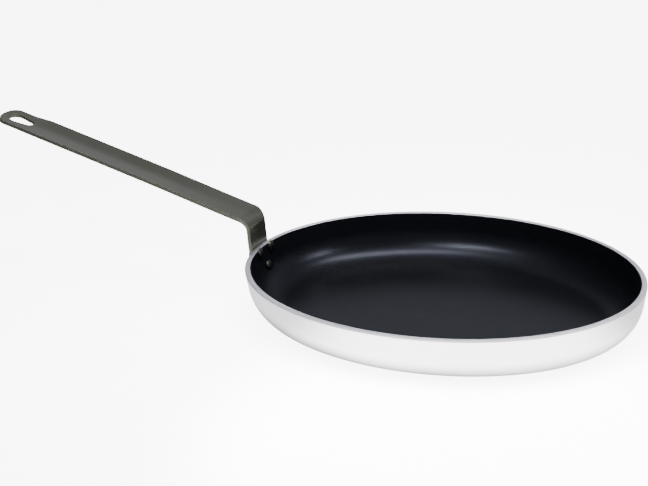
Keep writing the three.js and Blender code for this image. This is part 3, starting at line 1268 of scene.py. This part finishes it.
@dataclass
class Rivet:
    """One rivet through lining, wall and foot: domed head inside, shank, and formed head on the foot."""

    shape: PanShape
    handle: StripHandle
    node: str
    across: float
    distance: float
    shank: float = 0.006
    head: float = 0.0107
    head_height: float = 0.0024
    head_edge: float = 0.0005
    set_head: float = 0.0084
    set_head_height: float = 0.002
    seat: float = 0.00003
    turns: int = 64
    dome_rows: int = 14

    def profile(self) -> np.ndarray:
        """Profile from the head's crown to the formed head's crown.

        Each head is a quarter ellipse over a low straight edge.

        Returns:
            Rows of radius and depth into the pan from the wall's outer face.
        """
        turn = np.linspace(math.pi / 2.0, 0.0, self.dome_rows)
        face = self.shape.lining_face + self.seat
        radius = self.head / 2.0 * np.cos(turn)
        depth = face + self.head_edge + (self.head_height - self.head_edge) * np.sin(turn)
        head = np.column_stack((radius, depth))
        back = -(self.handle.foot_clearance + self.handle.strip + self.seat)
        shank = np.array([
            [self.head / 2.0, face],
            [self.shank / 2.0, face],
            [self.shank / 2.0, back],
            [self.set_head / 2.0, back],
        ])
        set_radius = self.set_head / 2.0 * np.cos(turn[::-1])
        set_depth = back - self.set_head_height * np.sin(turn[::-1])
        return np.vstack((head, shank, np.column_stack((set_radius, set_depth))[1:]))

    def build(self, finish: Material) -> Piece:
        """Builds and dresses the rivet: its profile turned about its axis and laid on the wall's curve.

        Args:
            finish: its material, shared by the rivets.

        Returns:
            The piece.
        """
        profile = self.profile()
        turn = np.linspace(0.0, 2.0 * math.pi, self.turns, endpoint=False)
        down = self.distance + profile[:, :1] * np.cos(turn)
        sideways = self.across + profile[:, :1] * np.sin(turn)
        depth = np.broadcast_to(profile[:, 1:], down.shape)
        points = self.shape.wall_point(down, sideways, depth)
        surface = SurfaceMesh()
        surface.add_grid(points, ring_uv(points), closed=True)
        piece = surface.piece(f"{self.node}_turned")
        finish_piece(piece, self.node, Slot.RIVET_STEEL, finish)
        return piece


@dataclass(frozen=True)
class Softbox:
    """A soft rectangular light that faces the pan, with its long side along a direction."""

    name: str
    place: Point
    along: Point
    size: Pair
    power: float

    def build(self) -> None:
        """Hangs the light, out of the camera's sight."""
        data = bpy.data.lights.new(self.name, "AREA")
        data.shape = "RECTANGLE"
        data.size, data.size_y = self.size
        data.energy = self.power
        light = bpy.data.objects.new(self.name, data)
        away = Vector(self.place).normalized()
        long_side = (Vector(self.along) - away * away.dot(Vector(self.along))).normalized()
        turn = Matrix((long_side, away.cross(long_side), away)).transposed()
        light.matrix_world = Matrix.Translation(self.place) @ turn.to_4x4()
        light.visible_camera = False
        bpy.context.collection.objects.link(light)


@dataclass
class Studio:
    """Plain pale floor and backdrop, softboxes above, in front and at the side, and a dim room."""

    reach: float = 12.0
    floor_level: float = -0.0012
    pool_level: float = -0.0006
    backdrop_rows: int = 24
    backdrop_turns: int = 96
    softboxes: tuple[Softbox, ...] = (
        Softbox("top_softbox", (0.12, 0.09, 1.70), (0.82, 0.57, 0.0), (1.28, 0.36), 23.0),
        Softbox("front_softbox", (-0.41, -1.05, 1.70), (0.98, 0.21, 0.0), (0.46, 0.20), 18.0),
        Softbox("side_softbox", (1.27, 0.09, 1.25), (0.0, 1.0, 0.0), (0.30, 0.30), 9.0),
    )
    room: tuple[Pair, ...] = (
        (0.0, 0.3),
        (0.3, 0.5),
        (0.44, 0.62),
        (0.5, 0.52),
        (0.58, 0.37),
        (0.68, 0.28),
        (0.86, 0.24),
        (1.0, 0.8),
    )
    room_tint: Colour = (0.94, 0.985, 1.10)
    room_front: float = 0.5
    room_left: float = 0.15
    front_fade: Pair = (0.0, 0.55)
    left_fade: Pair = (-0.8, -0.5)

    def sheet(self, name: str, points: np.ndarray, faces: np.ndarray, material: Material) -> Piece:
        """Makes a sheet of the stage.

        Args:
            name: the sheet's name.
            points: its points.
            faces: the numbers of each face's points.
            material: its finish.

        Returns:
            The sheet.
        """
        mesh = bpy.data.meshes.new(name)
        mesh.from_pydata(points.reshape(-1, 3).tolist(), [], faces.tolist())
        mesh.materials.append(material)
        sheet = bpy.data.objects.new(name, mesh)
        bpy.context.collection.objects.link(sheet)
        return sheet

    def dome(self, name: str, level: float, material: Material) -> Piece:
        """Makes a domed sheet: rings at the cosine of each rise above the floor, as high as its sine.

        Args:
            name: the sheet's name.
            level: height of its foot.
            material: its finish.

        Returns:
            The sheet.
        """
        rise = np.linspace(0.0, math.pi / 2.0, self.backdrop_rows)[:, None]
        turn = np.linspace(0.0, 2.0 * math.pi, self.backdrop_turns, endpoint=False)
        across = self.reach * np.cos(rise)
        height = self.reach * np.sin(rise) + level
        rings = np.broadcast_arrays(across * np.cos(turn), across * np.sin(turn), height)
        faces = grid_faces(self.backdrop_rows, self.backdrop_turns, closed=True)
        return self.sheet(name, np.stack(rings, axis=-1), faces, material)

    def flat_sheet(self, name: str, level: float, material: Material) -> Piece:
        """Makes a flat square sheet.

        Args:
            name: the sheet's name.
            level: its height.
            material: its finish.

        Returns:
            The sheet.
        """
        square = np.array([(-1.0, -1.0), (1.0, -1.0), (1.0, 1.0), (-1.0, 1.0)]) * self.reach
        corners = np.column_stack((square, np.full(len(square), level)))
        return self.sheet(name, corners, np.arange(len(square))[None], material)

    def build_floor(self, finish: PaleFloor, pool: LightPool) -> None:
        """Lays the floor and backdrop that only the camera sees, and the light pool that the pieces see.

        Args:
            finish: the floor's finish.
            pool: the light pool's finish.
        """
        floor = self.flat_sheet("pale_floor", self.floor_level, finish.material())
        card = self.flat_sheet("light_pool", self.pool_level, pool.material())
        card.visible_camera = False
        card.visible_shadow = False
        backdrop = self.dome("backdrop", self.floor_level, finish.backdrop())
        backdrop.visible_shadow = False
        for sheet in (floor, backdrop):
            sheet.visible_diffuse = False
            sheet.visible_glossy = False

    def build_room(self) -> None:
        """Gives the room a brightness by the direction's upward part, dimmer in front and on the left."""
        world = bpy.data.worlds.new("studio_room")
        world.use_nodes = True
        bpy.context.scene.world = world
        board = NodeBoard(world.node_tree)
        split = board.add("ShaderNodeSeparateXYZ")
        board.feed(split, Vector=board.add("ShaderNodeTexCoord").outputs["Generated"])
        stops = [(place, tuple(value * part for part in self.room_tint)) for place, value in self.room]
        colour = board.tint(split.outputs["Z"], stops)
        behind = board.spread(split.outputs["Y"], *self.front_fade, self.room_front, 1.0, smooth=True)
        right = board.spread(split.outputs["X"], *self.left_fade, self.room_left, 1.0, smooth=True)
        background = board.add("ShaderNodeBackground")
        board.feed(background, Color=colour, Strength=board.combine("MULTIPLY", behind, right))
        output = board.add("ShaderNodeOutputWorld")
        board.tree.links.new(background.outputs["Background"], output.inputs["Surface"])

    def build_lights(self) -> None:
        """Hangs the softboxes above, in front and to the side."""
        for softbox in self.softboxes:
            softbox.build()


@dataclass
class PhotoCamera:
    """Camera at the photograph's viewing angle, fitted to the pan's and the handle's outlines."""

    location: Point = (0.530407, -1.253477, 0.620369)
    azimuth: float = math.radians(27.18089)
    elevation: float = math.radians(21.85241)
    roll: float = math.radians(-2.90385)
    focal_pixels: float = 1690.759

    def build(self) -> None:
        """Sets up the camera from its axes: right, up and back, rolled about its line of sight."""
        back = Vector((
            math.sin(self.azimuth) * math.cos(self.elevation),
            -math.cos(self.azimuth) * math.cos(self.elevation),
            math.sin(self.elevation),
        ))
        right = Vector((math.cos(self.azimuth), math.sin(self.azimuth), 0.0))
        up = back.cross(right)
        rolled_right = math.cos(self.roll) * right + math.sin(self.roll) * up
        rolled_up = math.cos(self.roll) * up - math.sin(self.roll) * right
        turn = Matrix((rolled_right, rolled_up, back)).transposed()
        data = bpy.data.cameras.new("photo_camera")
        data.sensor_width = SENSOR_WIDTH
        data.lens = self.focal_pixels / IMAGE_WIDTH * SENSOR_WIDTH
        camera = bpy.data.objects.new("photo_camera", data)
        camera.matrix_world = Matrix.Translation(self.location) @ turn.to_4x4()
        bpy.context.collection.objects.link(camera)
        bpy.context.scene.camera = camera


def main() -> None:
    """Builds the pan, its lining, handle and rivets, then the studio and the camera."""
    logging.basicConfig(level=logging.INFO, format="%(name)s %(message)s")
    shape = PanShape.from_frame()
    PanBody(shape).build(BareAluminium())
    NonStickLining(shape).build(NonStickCoating())
    handle = StripHandle(shape)
    handle.build(GreySteel())
    rivet_finish = RivetSteel().material()
    for node, (across, distance) in RIVETS.items():
        Rivet(shape, handle, node, across, distance).build(rivet_finish)
    studio = Studio()
    studio.build_floor(PaleFloor(), LightPool())
    studio.build_room()
    studio.build_lights()
    PhotoCamera().build()


if __name__ == "__main__":
    main()
